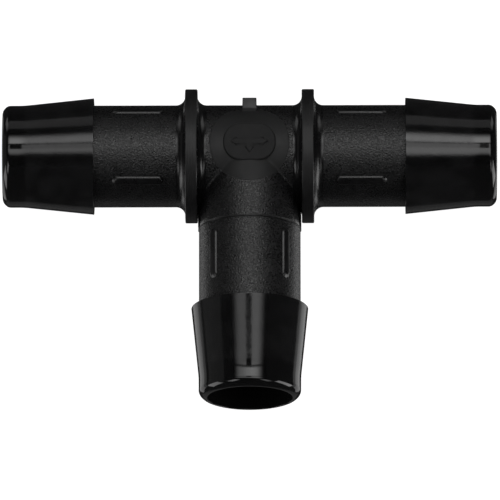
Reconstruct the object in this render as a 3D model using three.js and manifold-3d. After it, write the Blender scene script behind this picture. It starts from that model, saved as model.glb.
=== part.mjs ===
// Barbed tee connector for 19 mm (3/4 in) hose.
// The fitting is moulded in one shot. Each moulded region is its own named solid here, split on
// planes square to the pipe axes: a hub, two stop collars, three necks with grip ribs, three barbs,
// the badge with its flow mark, and the gate vestige.
// It lies flat: the run is along X, the branch points to -Y, and all three axes are at one height.
import * as THREE from "three";
import { mergeVertices } from "three/addons/utils/BufferGeometryUtils.js";
import Module from "manifold-3d";

const wasm = await Module();
wasm.setup();

// Driving dimensions, in millimetres. Distances along a leg start where the pipe axes cross.
const RUN_LENGTH = 46; // from the crossing to either end of the run
const BRANCH_LENGTH = 46.8;
const BORE_RADIUS = 8;
const NECK_RADIUS = 9.5;
const RUN_NECK_END = 29;
const BRANCH_NECK_END = 29.6;
const BARB_RADIUS = 10.85;
const LAND_LENGTH = 4;
const LAND_BLEND = 1.5;
const LIP_RADIUS = 1;
const COLLAR_RADIUS = 12.5;
const COLLAR_START = 9.7;
const COLLAR_END = 12;
const COLLAR_FILLET = 1.7;
const COLLAR_EDGE = 0.3;
const BRANCH_STEP = 0.05; // the hub's branch stub stands this much proud, and the neck this much shy
const BRANCH_STUB_END = 14.2;

const RIB_ANGLES = [45, 135, 225, 315].map(THREE.MathUtils.degToRad);
const RIB_START = 16;
const RIB_END = 25.5;
const RIB_WIDTH = 2;
const RIB_CORNER = 0.9;
const RIB_HEIGHT = 0.35;
const SEAT_DEPTH = 0.8; // how far a cut piece reaches below the surface that trims it

const BADGE_WIDTH = 9.8;
const BADGE_DEPTH = 7.2;
const BADGE_CORNER = 3.4;
const BADGE_HEIGHT = 0.3; // above the crest of the hub
const BADGE_EDGE = 0.12;

const MARK_HEIGHT = 0.2;
const MARK_REACH = 3.6;
const MARK_DROP = 2.3;
const MARK_BAR = 0.7;
const ARROW_LENGTH = 1.2;
const ARROW_WIDTH = 1.7;

const GATE_WIDTH = 2.6;
const GATE_TOP = 6.7; // above the pipe axes
const GATE_BACK = 9.4; // behind the run's axis

const ROUND_SEGMENTS = 48;
const ARC_STEPS = 4;

// The origin is under the middle of the fitting, at the height of the surface it lies on.
const CROSSING = new THREE.Vector3(0, (BRANCH_LENGTH - COLLAR_RADIUS) / 2, COLLAR_RADIUS);

const BLACK_NYLON = 0x0c0c0c;
const glossyNylon = new THREE.MeshStandardMaterial({ color: BLACK_NYLON, roughness: 0.2, metalness: 0 });
const texturedNylon = new THREE.MeshStandardMaterial({ color: BLACK_NYLON, roughness: 0.5, metalness: 0 });
const satinNylon = new THREE.MeshStandardMaterial({ color: BLACK_NYLON, roughness: 0.4, metalness: 0 });

// Points of a circular arc, from one angle to another, as [radius, distance] pairs of a profile.
function arc(centre, radius, fromDegrees, toDegrees) {
  const points = [];
  for (let i = 0; i <= ARC_STEPS; i++) {
    const angle = THREE.MathUtils.degToRad(fromDegrees + ((toDegrees - fromDegrees) * i) / ARC_STEPS);
    points.push([centre[0] + radius * Math.cos(angle), centre[1] + radius * Math.sin(angle)]);
  }
  return points;
}

// Points of a curve that leaves one straight stretch and joins another at their shared corner.
function blend(from, corner, to) {
  const curve = new THREE.QuadraticBezierCurve(
    new THREE.Vector2(...from),
    new THREE.Vector2(...corner),
    new THREE.Vector2(...to),
  );
  return curve.getPoints(ARC_STEPS).map((point) => [point.x, point.y]);
}

// A solid of revolution about Y. The profile runs round the section and closes on itself.
function revolve(profile) {
  const points = [...profile, profile[0]].map(([radius, distance]) => new THREE.Vector2(radius, distance));
  return new THREE.LatheGeometry(points, ROUND_SEGMENTS);
}

// A three.js geometry as a manifold-3d solid.
function solidOf(geometry) {
  const bare = geometry.clone();
  bare.deleteAttribute("normal");
  bare.deleteAttribute("uv");
  const merged = mergeVertices(bare, 1e-4);
  return new wasm.Manifold(
    new wasm.Mesh({
      numProp: 3,
      vertProperties: merged.attributes.position.array,
      triVerts: new Uint32Array(merged.index.array),
    }),
  );
}

// A manifold-3d solid as a three.js geometry.
function geometryOf(solid) {
  const mesh = solid.getMesh();
  const geometry = new THREE.BufferGeometry();
  geometry.setAttribute("position", new THREE.BufferAttribute(mesh.vertProperties, 3));
  geometry.setIndex(new THREE.BufferAttribute(mesh.triVerts, 1));
  geometry.computeVertexNormals();
  return geometry;
}

function cylinder(radius, from, to) {
  return revolve([[0, from], [radius, from], [radius, to], [0, to]]);
}

// The hub's outside: a run with a fillet up to each collar, and a branch stub.
function hubOutside() {
  const filletRadius = NECK_RADIUS + COLLAR_FILLET;
  const filletHeight = COLLAR_START - COLLAR_FILLET;
  const run = revolve([
    [0, -COLLAR_START],
    ...arc([filletRadius, -filletHeight], COLLAR_FILLET, -90, -180),
    ...arc([filletRadius, filletHeight], COLLAR_FILLET, 180, 90),
    [0, COLLAR_START],
  ]).rotateZ(Math.PI / 2);
  const branch = cylinder(NECK_RADIUS + BRANCH_STEP, 0, BRANCH_STUB_END).rotateZ(Math.PI);
  return solidOf(run).add(solidOf(branch));
}

function hub() {
  const runBore = cylinder(BORE_RADIUS, -RUN_LENGTH, RUN_LENGTH).rotateZ(Math.PI / 2);
  const branchBore = cylinder(BORE_RADIUS, 0, BRANCH_LENGTH).rotateZ(Math.PI);
  return geometryOf(hubOutside().subtract(solidOf(runBore)).subtract(solidOf(branchBore)));
}

// A stop collar: a flat disc with rounded edges, and a fillet on its outer side.
function collar() {
  const edgeRadius = COLLAR_RADIUS - COLLAR_EDGE;
  return revolve([
    [BORE_RADIUS, COLLAR_START],
    ...arc([edgeRadius, COLLAR_START + COLLAR_EDGE], COLLAR_EDGE, -90, 0),
    ...arc([edgeRadius, COLLAR_END - COLLAR_EDGE], COLLAR_EDGE, 0, 90),
    ...arc([NECK_RADIUS + COLLAR_FILLET, COLLAR_END + COLLAR_FILLET], COLLAR_FILLET, 270, 180),
    [BORE_RADIUS, COLLAR_END + COLLAR_FILLET],
  ]);
}

function neck(radius, start, end) {
  return revolve([
    [BORE_RADIUS, start],
    [radius, start],
    [radius, end],
    [BORE_RADIUS, end],
  ]);
}

// A barb: a sharp back edge, a long cone, a short straight land and a rounded lip.
function barb(start, end) {
  const landStart = end - LAND_LENGTH;
  const slope = (BARB_RADIUS - NECK_RADIUS) / (landStart - start);
  return revolve([
    [BORE_RADIUS, start],
    [BARB_RADIUS, start],
    ...blend(
      [NECK_RADIUS + slope * LAND_BLEND, landStart - LAND_BLEND],
      [NECK_RADIUS, landStart],
      [NECK_RADIUS, landStart + LAND_BLEND],
    ),
    ...arc([NECK_RADIUS - LIP_RADIUS, end - LIP_RADIUS], LIP_RADIUS, 0, 90),
    [BORE_RADIUS, end],
  ]);
}

// A flat plate with a bevelled top edge, standing on z = 0 and reaching SEAT_DEPTH below it.
function bevelledPlate(shape, height, bevel) {
  return new THREE.ExtrudeGeometry(shape, {
    depth: SEAT_DEPTH + height - 2 * bevel,
    bevelThickness: bevel,
    bevelSize: bevel,
    bevelOffset: -bevel,
    bevelSegments: 1,
    curveSegments: ARC_STEPS,
  }).translate(0, 0, bevel - SEAT_DEPTH);
}

// A rectangle with round corners, centred on the origin.
function roundedRectangle(width, length, corner) {
  const x = width / 2 - corner;
  const y = length / 2 - corner;
  const shape = new THREE.Shape();
  shape.absarc(x, y, corner, 0, Math.PI / 2);
  shape.absarc(-x, y, corner, Math.PI / 2, Math.PI);
  shape.absarc(-x, -y, corner, Math.PI, 1.5 * Math.PI);
  shape.absarc(x, -y, corner, 1.5 * Math.PI, 2 * Math.PI);
  shape.closePath();
  return shape;
}

// A low grip rib along the neck, trimmed to sit on the neck's round surface.
function rib(angle, neckRadius) {
  const outline = roundedRectangle(RIB_WIDTH, RIB_END - RIB_START, RIB_CORNER);
  const blank = bevelledPlate(outline, RIB_HEIGHT, RIB_HEIGHT)
    .translate(0, (RIB_START + RIB_END) / 2, neckRadius)
    .rotateY(angle);
  return geometryOf(solidOf(blank).subtract(solidOf(cylinder(neckRadius, 0, RUN_NECK_END))));
}

// The raised badge over the crossing, trimmed to the hub.
function badge() {
  const outline = roundedRectangle(BADGE_WIDTH, BADGE_DEPTH, BADGE_CORNER);
  const blank = bevelledPlate(outline, BADGE_HEIGHT, BADGE_EDGE).translate(0, 0, NECK_RADIUS);
  return geometryOf(solidOf(blank).subtract(hubOutside()));
}

// Three arrows that leave one point, towards the three ports.
function flowMark() {
  const bar = MARK_BAR / 2;
  const head = ARROW_WIDTH / 2;
  const neckX = MARK_REACH - ARROW_LENGTH;
  const neckY = MARK_DROP - ARROW_LENGTH;
  const rightHalf = [
    [0, bar], [neckX, bar], [neckX, head], [MARK_REACH, 0], [neckX, -head], [neckX, -bar],
    [bar, -bar], [bar, -neckY], [head, -neckY], [0, -MARK_DROP],
  ];
  const leftHalf = rightHalf.slice(1, -1).reverse().map(([x, y]) => [-x, y]);
  const shape = new THREE.Shape([...rightHalf, ...leftHalf].map(([x, y]) => new THREE.Vector2(x, y)));
  const solid = new THREE.ExtrudeGeometry(shape, { depth: MARK_HEIGHT, bevelEnabled: false });
  return solid.translate(0, 0, NECK_RADIUS + BADGE_HEIGHT);
}

// The square stub left where the moulding was cut from its runner, high on the side away from the branch.
function gateVestige() {
  const blank = new THREE.BoxGeometry(GATE_WIDTH, GATE_BACK, GATE_TOP);
  blank.translate(0, GATE_BACK / 2, GATE_TOP / 2);
  return geometryOf(solidOf(blank).subtract(hubOutside()));
}

function named(name, geometry, material) {
  const mesh = new THREE.Mesh(geometry, material);
  mesh.name = name;
  return mesh;
}

// One leg, built along +Y from the crossing. The run's legs have a collar, and the branch has none.
function leg(name, turn, onRun) {
  const group = new THREE.Group();
  const neckRadius = onRun ? NECK_RADIUS : NECK_RADIUS - BRANCH_STEP;
  const neckStart = onRun ? COLLAR_END + COLLAR_FILLET : BRANCH_STUB_END;
  const neckEnd = onRun ? RUN_NECK_END : BRANCH_NECK_END;
  const length = onRun ? RUN_LENGTH : BRANCH_LENGTH;
  if (onRun) group.add(named(`${name}_collar`, collar(), texturedNylon));
  group.add(named(`${name}_neck`, neck(neckRadius, neckStart, neckEnd), texturedNylon));
  RIB_ANGLES.forEach((angle, i) => {
    group.add(named(`${name}_neck_rib_${i + 1}`, rib(angle, neckRadius), texturedNylon));
  });
  group.add(named(`${name}_barb`, barb(neckEnd, length), glossyNylon));
  group.rotation.z = turn;
  return group;
}

const tee = new THREE.Group();
tee.add(named("hub", hub(), texturedNylon));
tee.add(leg("left", Math.PI / 2, true));
tee.add(leg("right", -Math.PI / 2, true));
tee.add(leg("branch", Math.PI, false));
tee.add(named("badge_plate", badge(), satinNylon));
tee.add(named("flow_mark", flowMark(), satinNylon));
tee.add(named("gate_vestige", gateVestige(), satinNylon));
tee.position.copy(CROSSING);

export default tee;
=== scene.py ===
"""Looks for the barbed tee connector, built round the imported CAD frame.

Every visible piece is one moulded region of the fitting. Profiles are in metres, worked out from the
boxes of the CAD nodes, and the three legs share their profile builders.
"""

import math

import bmesh
import bpy
import numpy as np
from mathutils import Matrix, Vector


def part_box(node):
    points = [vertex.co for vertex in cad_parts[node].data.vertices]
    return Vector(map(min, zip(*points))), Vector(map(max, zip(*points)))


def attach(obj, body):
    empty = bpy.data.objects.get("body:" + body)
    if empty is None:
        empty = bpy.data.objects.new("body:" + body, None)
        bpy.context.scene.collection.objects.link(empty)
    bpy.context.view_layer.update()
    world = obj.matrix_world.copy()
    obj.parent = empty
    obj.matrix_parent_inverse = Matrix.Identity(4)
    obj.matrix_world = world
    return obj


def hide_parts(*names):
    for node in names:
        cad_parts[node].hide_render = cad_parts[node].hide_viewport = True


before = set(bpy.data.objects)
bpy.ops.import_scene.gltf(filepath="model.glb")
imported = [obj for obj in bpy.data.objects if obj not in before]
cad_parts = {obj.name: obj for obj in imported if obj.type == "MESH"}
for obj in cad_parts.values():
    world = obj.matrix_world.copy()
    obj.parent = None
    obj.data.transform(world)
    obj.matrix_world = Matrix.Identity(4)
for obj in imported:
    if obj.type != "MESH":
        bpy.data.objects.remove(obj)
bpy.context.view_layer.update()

MM = 0.001


def size_of(node):
    """The width, depth and height of a CAD node."""
    low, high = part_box(node)
    return high - low


# The frame's own measures.
NECK_LOW, NECK_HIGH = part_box("left_neck")
CENTRE = Vector((0, (NECK_LOW.y + NECK_HIGH.y) / 2, (NECK_LOW.z + NECK_HIGH.z) / 2))
NECK_RADIUS = size_of("left_neck").z / 2
BARB_RADIUS = size_of("left_barb").z / 2
COLLAR_RADIUS = size_of("left_collar").z / 2
COLLAR_START = -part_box("left_collar")[1].x
STUB_END = CENTRE.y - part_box("branch_neck")[1].y
STEP = NECK_RADIUS - size_of("branch_neck").z / 2  # the branch neck is shy by this, and the stub proud
COLLAR_THICKNESS = 2.3 * MM
COLLAR_FILLET = -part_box("left_collar")[0].x - COLLAR_START - COLLAR_THICKNESS

# Moulding details.
WALL = 1.5 * MM
BORE_RADIUS = NECK_RADIUS - WALL
COLLAR_EDGE = 0.28 * MM
FLARE_START = COLLAR_START - COLLAR_FILLET
FLARE_TRIM = 0.1 * MM  # the end of the flare that is drawn with the collar
LAND_LENGTH = 4 * MM
LAND_START = -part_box("left_barb")[0].x - LAND_LENGTH
LAND_BLEND = 0.9 * MM
LIP = 0.95 * MM
LIP_SOFTNESS = 0.6 * MM
BACK_EDGE = 0.09 * MM
BORE_EDGE = 0.2 * MM
CREASE_RADIUS = 0.45 * MM
GRAIN_SIZE = 0.29 * MM
GRAIN_HEIGHT = 0.12 * MM
FLASH_HEIGHT = 0.07 * MM
FLASH_WIDTH = 0.2 * MM
INSERT_RADIUS = 7.4 * MM
PIT_DEPTH = 0.009 * MM
RIM_LINE_PITCH = 0.5 * MM
RIM_LINE_DEPTH = 0.012 * MM
RIB_WIDTH = 1.9 * MM
RIB_HEIGHT = 0.35 * MM
RIB_SLOPE = 0.4 * MM
RIB_RAMP = 0.4 * MM  # how much longer the slope is at the port end
RIB_FLAT = 0.1 * MM  # the straight part of a rib's round end
RIB_SUNK = 0.15 * MM
BADGE_CORNER = 3.4 * MM
BADGE_SUNK = 1.4 * MM
BADGE_EDGE = 0.35 * MM
MARK_BAR = 0.35 * MM  # half the width of an arrow's bar
MARK_HEAD = 1.2 * MM
MARK_SUNK = 0.1 * MM
MARK_EDGE = 0.2 * MM
GATE_FLARE = 0.12 * MM
GATE_EDGE = 0.12 * MM

# Near blacks of the nylon, from dark to light.
TEXTURED_BLACKS = ((0.004, 0.004, 0.0042), (0.0065, 0.0065, 0.0068))
SMOOTH_BLACKS = ((0.003, 0.003, 0.0032), (0.005, 0.005, 0.0053))
POLISHED_BLACKS = ((0.0045, 0.0045, 0.0047), (0.009, 0.009, 0.0093))
NYLON_IOR = 1.5
NOISE_RANGE = (0.3, 0.7)  # where most of a noise lies

# How many times as rough as the rest of its material each of these is.
INSERT_ROUGHNESS = 1.85
FLARE_ROUGHNESS = 0.62
GATE_ROUGHNESS = 0.53
LAND_ROUGHNESS = 0.7
RIM_ROUGHNESS = 1.9

ROUND_SEGMENTS = 288
SUPPORT = 0.05 * MM
RING_SPACING = 1 * MM
ARC_STEPS = 8
HUB_CELL = 0.24 * MM

CAMERA_ELEVATION = 73.57
CAMERA_YAW = 1.1
CAMERA_ROLL = -1.19
CAMERA_DISTANCE = 2.2
CAMERA_AIM = (0.04 * MM, -18.22 * MM, 0)
VIEW_WIDTH = 92.97 * MM

STAGE_RADIUS = 6
PANEL_HEIGHT = 1.2
PANEL_HALF_ANGLE = 38
KEY_RADIANCE = 2.15
HOT_SPOT = 1.7  # the lamp behind the softbox shows through

LEGS = {"left": Vector((-1, 0, 0)), "right": Vector((1, 0, 0)), "branch": Vector((0, -1, 0))}
UP = Vector((0, 0, 1))


def reach_of(node, direction):
    """How far from the crossing a node starts and ends, along one leg."""
    ends = [(corner - CENTRE).dot(direction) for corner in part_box(node)]
    return min(ends), max(ends)


# ---------------------------------------------------------------- meshes


def finished(name, mesh_data, sharp_angle=32):
    """Turns a bmesh into a smooth-shaded object whose hard edges stay hard."""
    bmesh.ops.recalc_face_normals(mesh_data, faces=mesh_data.faces)
    mesh = bpy.data.meshes.new(name)
    mesh_data.to_mesh(mesh)
    mesh_data.free()
    mesh.shade_smooth()
    mesh.set_sharp_from_angle(angle=math.radians(sharp_angle))
    piece = bpy.data.objects.new(name, mesh)
    bpy.context.scene.collection.objects.link(piece)
    return piece


def arc(centre, radius, from_degrees, to_degrees, steps=ARC_STEPS):
    """Points of a circular arc in a profile, as (distance along the leg, radius)."""
    span = to_degrees - from_degrees
    angles = [math.radians(from_degrees + span * i / steps) for i in range(steps + 1)]
    return [(centre[0] + radius * math.cos(a), centre[1] + radius * math.sin(a)) for a in angles]


def rounded(before, corner, after, reach, steps=ARC_STEPS):
    """Points of a soft corner that leaves each side of it at reach."""
    corner = Vector(corner)
    start = corner + (Vector(before) - corner).normalized() * reach
    end = corner + (Vector(after) - corner).normalized() * reach
    points = []
    for i in range(steps + 1):
        t = i / steps
        points.append(tuple(start * (1 - t) ** 2 + corner * 2 * t * (1 - t) + end * t * t))
    return points


def stretch(start, end, step):
    """Evenly spaced points between two profile points, without the ends."""
    start, end = Vector(start), Vector(end)
    count = max(1, round((end - start).length / step))
    return [tuple(start.lerp(end, i / count)) for i in range(1, count)]


def supported(profile):
    """Adds a point close to each end of every long straight stretch, to keep the shading there flat."""
    points = []
    for start, end in zip(profile, profile[1:] + profile[:1]):
        points.append(start)
        start, end = Vector(start), Vector(end)
        length = (end - start).length
        if length > 6 * SUPPORT:
            points.append(tuple(start.lerp(end, SUPPORT / length)))
            points.append(tuple(end.lerp(start, SUPPORT / length)))
    return points


def revolve(name, profile, direction):
    """A ring: a closed profile of (distance, radius) turned round one leg's axis."""
    side = direction.cross(UP)
    data = bmesh.new()
    rings = []
    for distance, radius in supported(profile):
        ring = []
        for i in range(ROUND_SEGMENTS):
            angle = 2 * math.pi * i / ROUND_SEGMENTS
            spoke = side * math.cos(angle) + UP * math.sin(angle)
            ring.append(data.verts.new(CENTRE + direction * distance + spoke * radius))
        rings.append(ring)
    for ring, following in zip(rings, rings[1:] + rings[:1]):
        for i in range(ROUND_SEGMENTS):
            j = (i + 1) % ROUND_SEGMENTS
            data.faces.new((ring[i], ring[j], following[j], following[i]))
    return finished(name, data)


# ---------------------------------------------------------------- hub


def run_distance(x, radius):
    """Signed distance to the run's outside, with the flares that meet the collars."""
    along = np.abs(x)
    to_flare = COLLAR_FILLET - np.hypot(along - FLARE_START, radius - NECK_RADIUS - COLLAR_FILLET)
    beside = np.where(radius < NECK_RADIUS + COLLAR_FILLET, to_flare, COLLAR_START - along)
    return np.where(along < FLARE_START, radius - NECK_RADIUS, beside)


def hub_distance(points):
    """Signed distance to the hub: run and branch joined with a small crease fillet, less the bores."""
    x, y, z = (points - np.array(CENTRE)).T
    run_radius = np.hypot(y, z)
    branch_radius = np.hypot(x, z)
    run = run_distance(x, run_radius)
    branch = np.maximum(branch_radius - NECK_RADIUS - STEP, y)
    reach = CREASE_RADIUS * np.clip(np.abs(x) / NECK_RADIUS, 0.02, 1) ** 2
    corner = np.hypot(np.maximum(reach - run, 0), np.maximum(reach - branch, 0))
    outside = np.maximum(reach, np.minimum(run, branch)) - corner
    branch_bore = np.where(y < 0, branch_radius, np.hypot(branch_radius, y))
    bores = np.minimum(run_radius, branch_bore) - BORE_RADIUS
    return np.maximum(outside, -bores)


def net_surface(distance, low, high, cell):
    """Vertices and quads of the surface where distance is 0, one vertex in each grid cell it crosses."""
    counts = np.ceil((np.array(high) - np.array(low)) / cell).astype(int) + 1
    axes = [low[k] + cell * np.arange(counts[k]) for k in range(3)]
    grid = np.stack(np.meshgrid(*axes, indexing="ij"), axis=-1)
    values = distance(grid.reshape(-1, 3)).reshape(counts)
    cells = counts - 1
    total = np.zeros((*cells, 3))
    crossings = np.zeros(cells)
    quads = []
    for axis in range(3):
        ahead = [slice(None)] * 3
        behind = [slice(None)] * 3
        ahead[axis] = slice(1, None)
        behind[axis] = slice(None, -1)
        first, second = values[tuple(behind)], values[tuple(ahead)]
        crossed = (first < 0) != (second < 0)
        share = np.where(crossed, first / np.where(crossed, first - second, 1), 0)
        point = grid[tuple(behind)].copy()
        point[..., axis] += share * cell
        u, v = [k for k in range(3) if k != axis]
        for du in (0, 1):
            for dv in (0, 1):
                window = [slice(None)] * 3
                window[u] = slice(du, du + cells[u])
                window[v] = slice(dv, dv + cells[v])
                hit = crossed[tuple(window)]
                total += np.where(hit[..., None], point[tuple(window)], 0)
                crossings += hit
        edges = np.argwhere(crossed)
        inner = np.all((edges[:, [u, v]] > 0) & (edges[:, [u, v]] < np.array(cells)[[u, v]]), axis=1)
        for edge in edges[inner]:
            corners = []
            for du, dv in ((0, 0), (1, 0), (1, 1), (0, 1)):
                cell_index = edge.copy()
                cell_index[u] -= du
                cell_index[v] -= dv
                corners.append(tuple(cell_index))
            quads.append(corners)
    used = np.argwhere(crossings > 0)
    numbers = {tuple(index): i for i, index in enumerate(used)}
    vertices = total[crossings > 0] / crossings[crossings > 0][:, None]
    return vertices, [[numbers[c] for c in corners] for corners in quads]


def settled(points, distance, rounds=6):
    """Moves points along the gradient until they lie on the surface. At a crease it is kept off 0."""
    nudge = 1e-6
    for _ in range(rounds):
        value = distance(points)
        slopes = [
            (distance(points + nudge * step) - distance(points - nudge * step)) / (2 * nudge)
            for step in np.eye(3)
        ]
        gradient = np.stack(slopes, axis=-1)
        steepness = np.maximum(np.sum(gradient**2, axis=-1), 0.2)
        points = points - gradient * (value / steepness)[:, None]
    return points


def make_hub():
    """The crossing, cut square at its two flares and at the end of the branch stub."""
    flare_cut = COLLAR_START - FLARE_TRIM
    margin = 3 * HUB_CELL
    reach = NECK_RADIUS + COLLAR_FILLET + margin
    low = np.array(CENTRE) - [flare_cut + margin, STUB_END + margin, reach]
    high = np.array(CENTRE) + [flare_cut + margin, reach, reach]
    vertices, quads = net_surface(hub_distance, low, high, HUB_CELL)
    vertices = settled(vertices, hub_distance)
    mesh = bpy.data.meshes.new("hub_net")
    mesh.from_pydata(vertices.tolist(), [], quads)
    data = bmesh.new()
    data.from_mesh(mesh)
    bpy.data.meshes.remove(mesh)
    cuts = [
        (CENTRE + Vector((flare_cut, 0, 0)), Vector((1, 0, 0))),
        (CENTRE - Vector((flare_cut, 0, 0)), Vector((-1, 0, 0))),
        (CENTRE - Vector((0, STUB_END, 0)), Vector((0, -1, 0))),
    ]
    for point, normal in cuts:
        geometry = data.verts[:] + data.edges[:] + data.faces[:]
        plane = {"plane_co": point, "plane_no": normal, "clear_outer": True}
        cut = bmesh.ops.bisect_plane(data, geom=geometry, **plane)
        rim = [e for e in cut["geom_cut"] if isinstance(e, bmesh.types.BMEdge) and e.is_boundary]
        bmesh.ops.bridge_loops(data, edges=rim)
    return finished("hub_shell", data, sharp_angle=38)


# ---------------------------------------------------------------- legs


def collar_profile():
    """A flat disc with soft edges, the end of the hub's flare and a fillet on its outer side."""
    outer = COLLAR_START + COLLAR_THICKNESS
    flare_centre = (FLARE_START, NECK_RADIUS + COLLAR_FILLET)
    fillet_centre = (outer + COLLAR_FILLET, NECK_RADIUS + COLLAR_FILLET)
    hub_cut = math.degrees(math.acos((COLLAR_FILLET - FLARE_TRIM) / COLLAR_FILLET))
    return [
        (COLLAR_START - FLARE_TRIM, BORE_RADIUS),
        *arc(flare_centre, COLLAR_FILLET, -hub_cut, 0),
        *rounded((COLLAR_START, 0), (COLLAR_START, COLLAR_RADIUS), (outer, COLLAR_RADIUS), COLLAR_EDGE),
        *rounded((COLLAR_START, COLLAR_RADIUS), (outer, COLLAR_RADIUS), (outer, 0), COLLAR_EDGE),
        *arc(fillet_centre, COLLAR_FILLET, 180, 270, 2 * ARC_STEPS),
        (outer + COLLAR_FILLET, BORE_RADIUS),
    ]


def neck_profile(start, end, radius):
    """A straight tube."""
    near, far = (start, radius), (end, radius)
    return [(start, BORE_RADIUS), near, *stretch(near, far, RING_SPACING), far, (end, BORE_RADIUS)]


def branch_neck_profile(end):
    """The branch neck starts with the fine flash ring where the two halves of its tool met."""
    radius = NECK_RADIUS - STEP
    foot = (STUB_END, NECK_RADIUS + STEP)
    crest = (STUB_END + FLASH_WIDTH / 4, NECK_RADIUS + STEP + FLASH_HEIGHT)
    near, far = (STUB_END + FLASH_WIDTH, radius), (end, radius)
    return [
        (STUB_END, BORE_RADIUS),
        foot,
        *rounded(foot, crest, near, FLASH_WIDTH / 3),
        near,
        *stretch(near, far, RING_SPACING),
        far,
        (end, BORE_RADIUS),
    ]


def barb_profile(start, end):
    """A sharp back, a cone that runs out into a short land, and a soft lip round the port."""
    land_start = end - LAND_LENGTH
    back = (start, BARB_RADIUS)
    foot = (land_start, NECK_RADIUS)
    lip_start = (end - LIP, NECK_RADIUS)
    lip_end = (end, NECK_RADIUS - LIP)
    mouth = (end, BORE_RADIUS)
    return [
        (start, BORE_RADIUS),
        *rounded((start, 0), back, foot, BACK_EDGE, 3),
        *stretch(back, foot, RING_SPACING)[:-1],
        *rounded(back, foot, lip_start, LAND_BLEND),
        *rounded(foot, lip_start, lip_end, LIP_SOFTNESS),
        *rounded(lip_start, lip_end, mouth, LIP_SOFTNESS),
        *rounded(lip_end, mouth, (start, BORE_RADIUS), BORE_EDGE),
    ]


# ---------------------------------------------------------------- small raised details


def outline_of_slot(width, length, corner, steps=6):
    """A rectangle with round corners, centred on the origin, as 2-D points."""
    points = []
    for quarter, (sx, sy) in enumerate(((1, 1), (-1, 1), (-1, -1), (1, -1))):
        centre = Vector((sx * (width / 2 - corner), sy * (length / 2 - corner)))
        for i in range(steps + 1):
            angle = math.radians(90 * (quarter + i / steps))
            points.append(centre + corner * Vector((math.cos(angle), math.sin(angle))))
    return points


def loft(name, outline_at, levels, place):
    """A closed pad: outlines stacked from its foot to its top, with the last one filled."""
    data = bmesh.new()
    rings = []
    for inset, height in levels:
        rings.append([data.verts.new(place(p.x, p.y, height)) for p in outline_at(inset)])
    for ring, following in zip(rings, rings[1:]):
        for i in range(len(ring)):
            j = (i + 1) % len(ring)
            data.faces.new((ring[i], ring[j], following[j], following[i]))
    data.faces.new(rings[-1])
    data.faces.new(list(reversed(rings[0])))
    return finished(name, data, sharp_angle=50)


def make_rib(leg, number, neck_radius):
    """A low grip rib with sloping sides, a longer slope at its port end, bent to its neck."""
    direction = LEGS[leg]
    side = direction.cross(UP)
    low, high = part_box(f"{leg}_neck_rib_{number}")
    middle = (low + high) / 2 - CENTRE
    along = middle.dot(direction)
    length = abs((high - low).dot(direction))
    spoke = (middle - direction * along).normalized()
    tangent = direction.cross(spoke)

    def outline_at(inset):
        shorter = RIB_RAMP * inset / RIB_SLOPE
        corner = (RIB_WIDTH - RIB_FLAT) / 2 - inset
        slot = outline_of_slot(RIB_WIDTH - 2 * inset, length - 2 * inset - shorter, corner)
        return [point - Vector((0, shorter / 2)) for point in slot]

    def place(x, y, level):
        angle = x / neck_radius
        out = spoke * math.cos(angle) + tangent * math.sin(angle)
        return CENTRE + direction * (along + y) + out * (neck_radius + level)

    levels = [(0, -RIB_SUNK), (0, 0)]
    for i in range(1, 6):
        share = i / 5
        levels.append((RIB_SLOPE * share, RIB_HEIGHT * (1 - (1 - share) ** 1.6)))
    return loft(f"{leg}_grip_rib_{number}", outline_at, levels, place)


def make_badge():
    """The plate over the crossing, with a soft top edge."""
    size = size_of("badge_plate")
    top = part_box("badge_plate")[1].z - CENTRE.z

    def outline_at(inset):
        return outline_of_slot(size.x - 2 * inset, size.y - 2 * inset, BADGE_CORNER - inset, 16)

    def place(x, y, level):
        return CENTRE + Vector((x, y, top + level))

    levels = [(0, -BADGE_SUNK)]
    for i in range(7):
        angle = math.radians(15 * i)
        levels.append((BADGE_EDGE * (1 - math.cos(angle)), BADGE_EDGE * (math.sin(angle) - 1)))
    return loft("crossing_badge", outline_at, levels, place)


def extruded(name, outline, low, high, edge):
    """A prism along Z with softened top edges."""
    data = bmesh.new()
    bottom = [data.verts.new(CENTRE + Vector((x, y, low))) for x, y in outline]
    top = [data.verts.new(CENTRE + Vector((x, y, high))) for x, y in outline]
    data.faces.new(list(reversed(bottom)))
    data.faces.new(top)
    for i in range(len(outline)):
        j = (i + 1) % len(outline)
        data.faces.new((bottom[i], bottom[j], top[j], top[i]))
    rim = [e for e in data.edges if all(v in top for v in e.verts)]
    bmesh.ops.bevel(data, geom=rim, offset=edge, segments=3, profile=0.5, affect="EDGES")
    return finished(name, data, sharp_angle=40)


def make_flow_mark():
    """Three raised arrows from the middle of the badge to the three ports."""
    low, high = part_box("flow_mark")
    foot = low.z - CENTRE.z
    reach = high.x
    drop = CENTRE.y - low.y
    wing = high.y - CENTRE.y
    side = reach - MARK_HEAD
    down = MARK_HEAD - drop
    half = [(0, MARK_BAR), (side, MARK_BAR), (side, wing), (reach, 0), (side, -wing), (side, -MARK_BAR)]
    half += [(MARK_BAR, -MARK_BAR), (MARK_BAR, down), (wing, down), (0, -drop)]
    other_half = [(-x, y) for x, y in reversed(half[1:-1])]
    outline = list(reversed(half + other_half))
    return extruded("flow_arrows", outline, foot - MARK_SUNK, high.z - CENTRE.z, MARK_EDGE)


def make_gate():
    """The square stub left by the runner, high on the back of the hub and a little wider at its root."""
    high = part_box("gate_vestige")[1]
    back = high.y - CENTRE.y
    wide = high.x + GATE_FLARE
    root = BORE_RADIUS * 0.7
    foot = BORE_RADIUS * 0.4
    outline = [(-wide, root), (wide, root), (high.x, back), (-high.x, back)]
    return extruded("gate_stub", outline, foot, high.z - CENTRE.z, GATE_EDGE)


# ---------------------------------------------------------------- materials


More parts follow.
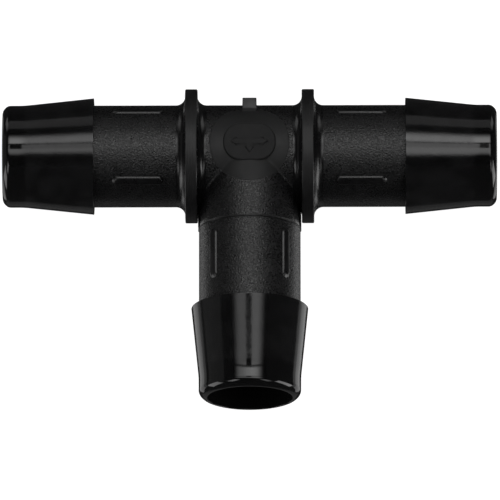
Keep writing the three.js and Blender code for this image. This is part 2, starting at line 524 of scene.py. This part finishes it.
def new_material(name):
    """A material with nothing but a Principled shader, its node tree and that shader."""
    material = bpy.data.materials.new(name)
    material.use_nodes = True
    tree = material.node_tree
    tree.nodes.clear()
    output = tree.nodes.new("ShaderNodeOutputMaterial")
    shader = tree.nodes.new("ShaderNodeBsdfPrincipled")
    tree.links.new(shader.outputs["BSDF"], output.inputs["Surface"])
    return material, tree, shader


def new_nylon(name):
    """A material for nylon, its node tree, its shader and the place of each point of the piece."""
    material, tree, shader = new_material(name)
    shader.inputs["IOR"].default_value = NYLON_IOR
    place = tree.nodes.new("ShaderNodeTexCoord").outputs["Object"]
    return material, tree, shader, place


def noise(tree, coordinates, size, detail=2.0, roughness=0.5):
    """Noise with lumps of about the given size."""
    node = tree.nodes.new("ShaderNodeTexNoise")
    node.inputs["Scale"].default_value = 1 / size
    node.inputs["Detail"].default_value = detail
    node.inputs["Roughness"].default_value = roughness
    tree.links.new(coordinates, node.inputs["Vector"])
    return node.outputs["Fac"]


def remap(tree, value, low, high, to_low, to_high):
    """Maps a range of a value to another range, and clamps it."""
    node = tree.nodes.new("ShaderNodeMapRange")
    node.inputs["From Min"].default_value = low
    node.inputs["From Max"].default_value = high
    node.inputs["To Min"].default_value = to_low
    node.inputs["To Max"].default_value = to_high
    tree.links.new(value, node.inputs["Value"])
    return node.outputs["Result"]


def ramp(tree, value, start, end, at_start=0, at_end=1):
    """A smooth step between two values of a socket; start may be the larger one."""
    node = tree.nodes.new("ShaderNodeMapRange")
    node.interpolation_type = "SMOOTHSTEP"
    node.inputs["From Min"].default_value = min(start, end)
    node.inputs["From Max"].default_value = max(start, end)
    node.inputs["To Min"].default_value = at_start if start < end else at_end
    node.inputs["To Max"].default_value = at_end if start < end else at_start
    tree.links.new(value, node.inputs["Value"])
    return node.outputs["Result"]


def bump(tree, height, distance, after=None):
    """A bump from a height, laid over an earlier bump; the distance is the depth of a height of 1."""
    node = tree.nodes.new("ShaderNodeBump")
    node.inputs["Strength"].default_value = 1
    node.inputs["Distance"].default_value = distance
    tree.links.new(height, node.inputs["Height"])
    if after is not None:
        tree.links.new(after, node.inputs["Normal"])
    return node.outputs["Normal"]


def tinted(tree, shader, value, blacks):
    """A base colour that drifts between two near blacks."""
    node = tree.nodes.new("ShaderNodeValToRGB")
    for element, position, colour in zip(node.color_ramp.elements, NOISE_RANGE, blacks):
        element.position = position
        element.color = (*colour, 1)
    tree.links.new(value, node.inputs["Fac"])
    tree.links.new(node.outputs["Color"], shader.inputs["Base Color"])


def maths(tree, operation, *values):
    """A Math node on one or two values, each a socket or a number."""
    node = tree.nodes.new("ShaderNodeMath")
    node.operation = operation
    for socket, value in zip(node.inputs, values):
        if isinstance(value, (int, float)):
            socket.default_value = value
        else:
            tree.links.new(value, socket)
    return node.outputs["Value"]


def product(tree, *factors):
    """The factors multiplied, each a socket or a number."""
    result = factors[0]
    for factor in factors[1:]:
        result = maths(tree, "MULTIPLY", result, factor)
    return result


def mixed(tree, mask, outside, inside):
    """The first value where the mask is 0, and the second where it is 1."""
    return remap(tree, mask, 0, 1, outside, inside)


def spread(tree, noise_value, low, high):
    """Noise stretched from its usual range to the given one."""
    return remap(tree, noise_value, *NOISE_RANGE, low, high)


def away_from(tree, value, middle):
    """How far a value lies from the given middle, either way."""
    return maths(tree, "ABSOLUTE", maths(tree, "SUBTRACT", value, middle))


def from_crossing(tree, place):
    """The three coordinates measured from the crossing."""
    offset = tree.nodes.new("ShaderNodeVectorMath")
    offset.operation = "SUBTRACT"
    offset.inputs[1].default_value = CENTRE
    tree.links.new(place, offset.inputs[0])
    split = tree.nodes.new("ShaderNodeSeparateXYZ")
    tree.links.new(offset.outputs["Vector"], split.inputs["Vector"])
    return split.outputs


def length_of(tree, x, y):
    """The length of a two-part vector."""
    return maths(tree, "SQRT", maths(tree, "ADD", product(tree, x, x), product(tree, y, y)))


def within_insert(tree, radius):
    """1 where the round tool insert stood, 0 outside it."""
    return ramp(tree, radius, INSERT_RADIUS + 0.05 * MM, INSERT_RADIUS - 0.05 * MM)


def textured_nylon(name, on_hub=False):
    """Glass-filled nylon with a spark-eroded grain.

    The grain fades out on the flash ring. On the hub it also fades on the polished flares and where a
    round tool insert stood, which left a finer and duller finish inside a witness line.
    """
    material, tree, shader, place = new_nylon(name)
    grain = noise(tree, place, GRAIN_SIZE, 1.0, 0.5)
    speckle = noise(tree, place, 1.2 * GRAIN_SIZE, 1.0, 0.5)
    patches = noise(tree, place, 2.2 * MM, 2.0, 0.5)
    tinted(tree, shader, patches, TEXTURED_BLACKS)
    x, y, level = from_crossing(tree, place)
    ring_middle = STUB_END + FLASH_WIDTH / 2
    from_ring = away_from(tree, y, -ring_middle)
    grained = ramp(tree, from_ring, 0.15 * MM, 0.25 * MM)
    soft = bump(tree, patches, 0.008 * MM)
    dull = 1.0
    if on_hub:
        radius = length_of(tree, x, y)
        top = ramp(tree, level, 0, 0.1 * MM)
        insert = product(tree, top, within_insert(tree, radius))
        flare = ramp(tree, away_from(tree, x, 0), FLARE_START - 0.1 * MM, FLARE_START + 0.3 * MM)
        smooth = maths(tree, "MAXIMUM", insert, flare)
        grained = product(tree, grained, maths(tree, "SUBTRACT", 1.0, smooth))
        dull = product(
            tree,
            mixed(tree, insert, 1, INSERT_ROUGHNESS),
            mixed(tree, flare, 1, FLARE_ROUGHNESS),
        )
        from_edge = away_from(tree, radius, INSERT_RADIUS)
        line = product(tree, ramp(tree, from_edge, 0.1 * MM, 0), top)
        soft = bump(tree, line, 0.03 * MM, soft)
    sparkle = product(tree, maths(tree, "SUBTRACT", speckle, 0.5), grained)
    sparkle = remap(tree, sparkle, -0.2, 0.2, 0.62, 1.38)
    roughness = product(tree, spread(tree, patches, 0.3, 0.35), sparkle, dull)
    tree.links.new(roughness, shader.inputs["Roughness"])
    height = product(tree, grain, grained)
    tree.links.new(bump(tree, height, GRAIN_HEIGHT, soft), shader.inputs["Normal"])
    return material


def satin_nylon():
    """The even, dull nylon of the badge. The gate, outside the tool insert, is brighter."""
    material, tree, shader, place = new_nylon("satin_black_nylon")
    grain = noise(tree, place, 0.2 * MM, 2.0, 0.6)
    patches = noise(tree, place, 1.5 * MM, 2.0, 0.5)
    tinted(tree, shader, patches, SMOOTH_BLACKS)
    x, y, _ = from_crossing(tree, place)
    dull = mixed(tree, within_insert(tree, length_of(tree, x, y)), GATE_ROUGHNESS, 1)
    roughness = product(tree, spread(tree, patches, 0.68, 0.74), dull)
    tree.links.new(roughness, shader.inputs["Roughness"])
    tree.links.new(bump(tree, grain, 0.006 * MM), shader.inputs["Normal"])
    return material


def polished_nylon():
    """The same nylon from a polished tool. The lands are bright, the cones a little waved and pitted."""
    material, tree, shader, place = new_nylon("polished_black_nylon")
    pits = noise(tree, place, 0.35 * MM, 2.0, 0.6)
    waves = noise(tree, place, 3 * MM, 1.0, 0.5)
    uneven = maths(tree, "SUBTRACT", waves, 0.5)
    pitting = maths(tree, "SUBTRACT", pits, 0.5)
    x, y, _ = from_crossing(tree, place)
    along_leg = maths(tree, "MAXIMUM", away_from(tree, x, 0), away_from(tree, y, 0))
    cone = ramp(tree, along_leg, LAND_START + 0.3 * MM, LAND_START - 0.6 * MM)
    shade = product(tree, waves, cone)
    tinted(tree, shader, shade, POLISHED_BLACKS)
    roughness = product(tree, spread(tree, pits, 0.09, 0.15), mixed(tree, cone, LAND_ROUGHNESS, 1))
    tree.links.new(roughness, shader.inputs["Roughness"])
    soft = bump(tree, product(tree, uneven, mixed(tree, cone, 0.2, 1)), 0.02 * MM)
    pitted = bump(tree, product(tree, pitting, cone), PIT_DEPTH, soft)
    tree.links.new(pitted, shader.inputs["Normal"])
    return material


def smooth_nylon(name, low, high, rim_roughness=1):
    """Smooth nylon with the given roughness. A collar's rim is duller, with fine turned lines."""
    material, tree, shader, place = new_nylon(name)
    patches = noise(tree, place, 1.2 * MM, 2.0, 0.5)
    tinted(tree, shader, patches, SMOOTH_BLACKS)
    x, y, z = from_crossing(tree, place)
    from_axis = length_of(tree, y, z)
    rim = ramp(tree, from_axis, COLLAR_RADIUS - 0.06 * MM, COLLAR_RADIUS - 0.01 * MM)
    roughness = product(tree, spread(tree, patches, low, high), mixed(tree, rim, 1, rim_roughness))
    tree.links.new(roughness, shader.inputs["Roughness"])
    lines = maths(tree, "SINE", product(tree, x, 2 * math.pi / RIM_LINE_PITCH))
    lines = product(tree, maths(tree, "ADD", lines, 1.0), product(tree, rim, 0.5))
    soft = bump(tree, patches, 0.006 * MM)
    tree.links.new(bump(tree, lines, RIM_LINE_DEPTH, soft), shader.inputs["Normal"])
    return material


def dress(piece, material, slot, *nodes):
    """Gives a piece its material and its place in the frame."""
    piece.data.materials.append(material)
    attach(piece, "root")
    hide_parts(*nodes)


# ---------------------------------------------------------------- stage


def glowing(name, colour, glow):
    """A matt pale material that gives off a little light of its own."""
    material, tree, shader = new_material(name)
    shader.inputs["Base Color"].default_value = (colour, colour, colour, 1)
    shader.inputs["Roughness"].default_value = 0.9
    shader.inputs["Emission Color"].default_value = (1, 1, 1, 1)
    shader.inputs["Emission Strength"].default_value = glow
    return material


def make_stage():
    """A pale floor and a pale dome far behind it. The black plastic mirrors neither."""
    data = bmesh.new()
    bmesh.ops.create_circle(data, cap_ends=True, radius=STAGE_RADIUS, segments=64)
    floor = finished("floor", data)
    floor.data.materials.append(glowing("pale_floor", 0.3, 0.99))
    data = bmesh.new()
    bmesh.ops.create_uvsphere(data, u_segments=64, v_segments=32, radius=STAGE_RADIUS)
    everything = data.verts[:] + data.edges[:] + data.faces[:]
    below, down = (0, 0, -0.1), (0, 0, -1)
    bmesh.ops.bisect_plane(data, geom=everything, plane_co=below, plane_no=down, clear_outer=True)
    dome = finished("dome", data)
    dome.data.materials.append(glowing("pale_dome", 0.8, 0.85))
    dome.visible_diffuse = False
    for piece in (floor, dome):
        piece.visible_glossy = False
        piece.visible_shadow = False


def make_card(name, centre, facing, width, height, radiance):
    """A rectangular light of even radiance, seen only in reflections. Its width lies level."""
    light = bpy.data.lights.new(name, "AREA")
    light.shape = "RECTANGLE"
    light.size = width
    light.size_y = height
    light.energy = radiance * math.pi * width * height
    card = bpy.data.objects.new(name, light)
    bpy.context.scene.collection.objects.link(card)
    card.location = CENTRE + Vector(centre)
    card.rotation_euler = (-Vector(facing)).to_track_quat("Z", "Y").to_euler()
    card.visible_camera = False
    return card


def degrees_from_zenith(tree, way):
    """The angle to a point of the softbox, in degrees, from its distance one way."""
    angle = maths(tree, "ARCTANGENT", maths(tree, "DIVIDE", way, PANEL_HEIGHT))
    return product(tree, angle, math.degrees(1))


def make_softbox():
    """The big softbox overhead, with soft edges, a seam and a dark square, and brighter to the right.

    Its pattern is set by the angles from the zenith, towards +X and towards +Y, in degrees.
    """
    half_width = PANEL_HEIGHT * math.tan(math.radians(PANEL_HALF_ANGLE))
    data = bmesh.new()
    bmesh.ops.create_grid(data, x_segments=1, y_segments=1, size=half_width)
    softbox = finished("softbox", data)
    softbox.location = CENTRE + Vector((0, 0, PANEL_HEIGHT))
    material, tree, shader = new_material("softbox_glow")
    place = tree.nodes.new("ShaderNodeTexCoord").outputs["Object"]
    split = tree.nodes.new("ShaderNodeSeparateXYZ")
    tree.links.new(place, split.inputs["Vector"])
    across, along = (degrees_from_zenith(tree, way) for way in split.outputs[:2])
    slant = product(tree, across, 0.19)
    from_square = maths(tree, "MAXIMUM", away_from(tree, across, -1.8), away_from(tree, along, 6.3))
    glow = product(
        tree,
        ramp(tree, across, -36, -20),  # the left edge
        ramp(tree, across, 32, 15),  # the right edge
        ramp(tree, across, -14, 14, 0.8, 1.06),  # brighter to the right
        ramp(tree, maths(tree, "ADD", along, slant), -17, -6),  # the edge over the branch
        ramp(tree, along, 35.5, 24),  # the far edge
        ramp(tree, away_from(tree, along, 5.5), 5.5, 4, 1, 0.72),  # a dimmer strip
        ramp(tree, away_from(tree, along, 11.5), 2.1, 0.9, 1, 0.1),  # the seam
        ramp(tree, from_square, 6.3, 5.1, 1, 0),  # the dark square
    )
    lamp = product(
        tree,
        ramp(tree, away_from(tree, across, 0), 24, 2),
        ramp(tree, away_from(tree, along, 17), 13, 2),
    )
    strength = maths(tree, "ADD", product(tree, lamp, HOT_SPOT), KEY_RADIANCE)
    tree.links.new(product(tree, glow, strength), shader.inputs["Emission Strength"])
    shader.inputs["Emission Color"].default_value = (1, 1, 1, 1)
    shader.inputs["Base Color"].default_value = (0, 0, 0, 1)
    softbox.data.materials.append(material)
    softbox.visible_camera = False


def make_wall(name, direction, zenith_angles, width, distance, radiance):
    """A tall card beside the fitting that fills the given angles from the zenith."""
    near, far = (math.radians(a) for a in zenith_angles)
    middle = (near + far) / 2
    away = Vector(direction) * math.sin(middle) + UP * math.cos(middle)
    height = 2 * distance * math.tan((far - near) / 2)
    return make_card(name, away * distance, -away, width, height, radiance)


def make_far_card(name, azimuth, elevations, spread, radiance):
    """A card far off in one direction, turned to the fitting; the azimuth is counted from the branch."""
    low, high = (math.radians(e) for e in elevations)
    turn, middle = math.radians(azimuth), (low + high) / 2
    level = Vector((math.sin(turn), -math.cos(turn), 0))
    away = level * math.cos(middle) + UP * math.sin(middle)
    width = 2 * PANEL_HEIGHT * math.tan(math.radians(spread / 2))
    height = 2 * PANEL_HEIGHT * math.tan((high - low) / 2)
    return make_card(name, away * PANEL_HEIGHT, -away, width, height, radiance)


def make_lights():
    """The softbox, dim walls behind and at the left, boxes on the diagonals, and pale low cards."""
    make_softbox()
    make_wall("back_wall", (0, 1, 0), (49.5, 72), 1.6, 1.2, 0.33)
    make_wall("left_wall", (-1, 0, 0), (60, 106), 1.2, 1.2, 0.12)
    make_far_card("side_card_left", -95, (-60, -34), 50, 0.74)
    make_far_card("side_card_right", 95, (-60, -34), 50, 0.9)
    make_far_card("side_fade_left", -95, (-34, -24), 50, 0.3)
    make_far_card("side_fade_right", 95, (-34, -24), 50, 0.4)
    make_far_card("front_box_right", 64, (-22, 22), 24, 3.0)
    make_far_card("front_box_left", -42, (26, 50), 16, 2.2)
    make_far_card("front_box_middle", 42, (26, 50), 14, 1.4)
    make_far_card("back_box_left", -142, (-5, 26), 22, 0.8)
    make_far_card("back_box_right", 142, (-5, 26), 22, 0.8)
    make_far_card("low_box_left", -60, (-20, 12), 30, 2.2)
    make_far_card("under_card", 0, (-78, -50), 50, 0.1)


def make_camera():
    """A long lens high above the branch side, as in a catalogue picture."""
    camera = bpy.data.cameras.new("camera")
    camera.sensor_width = 36
    camera.clip_start = 0.01
    camera.lens = camera.sensor_width * CAMERA_DISTANCE / VIEW_WIDTH
    holder = bpy.data.objects.new("camera", camera)
    bpy.context.scene.collection.objects.link(holder)
    turned = Matrix.Rotation(math.radians(CAMERA_YAW), 4, "Z") @ Matrix.Rotation(
        math.radians(90 - CAMERA_ELEVATION), 4, "X"
    )
    turned = turned @ Matrix.Rotation(math.radians(CAMERA_ROLL), 4, "Z")
    aim = CENTRE + Vector(CAMERA_AIM)
    holder.matrix_world = Matrix.Translation(aim) @ turned @ Matrix.Translation((0, 0, CAMERA_DISTANCE))
    bpy.context.scene.camera = holder


# ---------------------------------------------------------------- build

textured = textured_nylon("textured_black_nylon")
polished = polished_nylon()
satin = satin_nylon()
rib_nylon = smooth_nylon("rib_black_nylon", 0.26, 0.33)
collar_nylon = smooth_nylon("collar_black_nylon", 0.24, 0.28, RIM_ROUGHNESS)

dress(make_hub(), textured_nylon("hub_black_nylon", on_hub=True), "textured_nylon", "hub")
for leg, direction in LEGS.items():
    on_run = leg != "branch"
    barb_start, barb_end = reach_of(f"{leg}_barb", direction)
    if on_run:
        collar = revolve(f"{leg}_stop_collar", collar_profile(), direction)
        dress(collar, collar_nylon, "textured_nylon", f"{leg}_collar")
        neck_start = COLLAR_START + COLLAR_THICKNESS + COLLAR_FILLET
        neck = revolve(f"{leg}_spigot", neck_profile(neck_start, barb_start, NECK_RADIUS), direction)
    else:
        neck = revolve(f"{leg}_spigot", branch_neck_profile(barb_start), direction)
    dress(neck, textured, "textured_nylon", f"{leg}_neck")
    neck_radius = NECK_RADIUS if on_run else NECK_RADIUS - STEP
    for number in range(1, 5):
        rib = make_rib(leg, number, neck_radius)
        dress(rib, rib_nylon, "textured_nylon", f"{leg}_neck_rib_{number}")
    barb = revolve(f"{leg}_hose_barb", barb_profile(barb_start, barb_end), direction)
    dress(barb, polished, "polished_nylon", f"{leg}_barb")
dress(make_badge(), satin, "satin_nylon", "badge_plate")
dress(make_flow_mark(), satin, "satin_nylon", "flow_mark")
dress(make_gate(), satin, "satin_nylon", "gate_vestige")

make_camera()
make_stage()
make_lights()

world = bpy.data.worlds.new("studio")
world.use_nodes = True
world.node_tree.nodes["Background"].inputs["Color"].default_value = (0.02, 0.02, 0.02, 1)
bpy.context.scene.world = world
bpy.context.scene.view_settings.view_transform = "Standard"
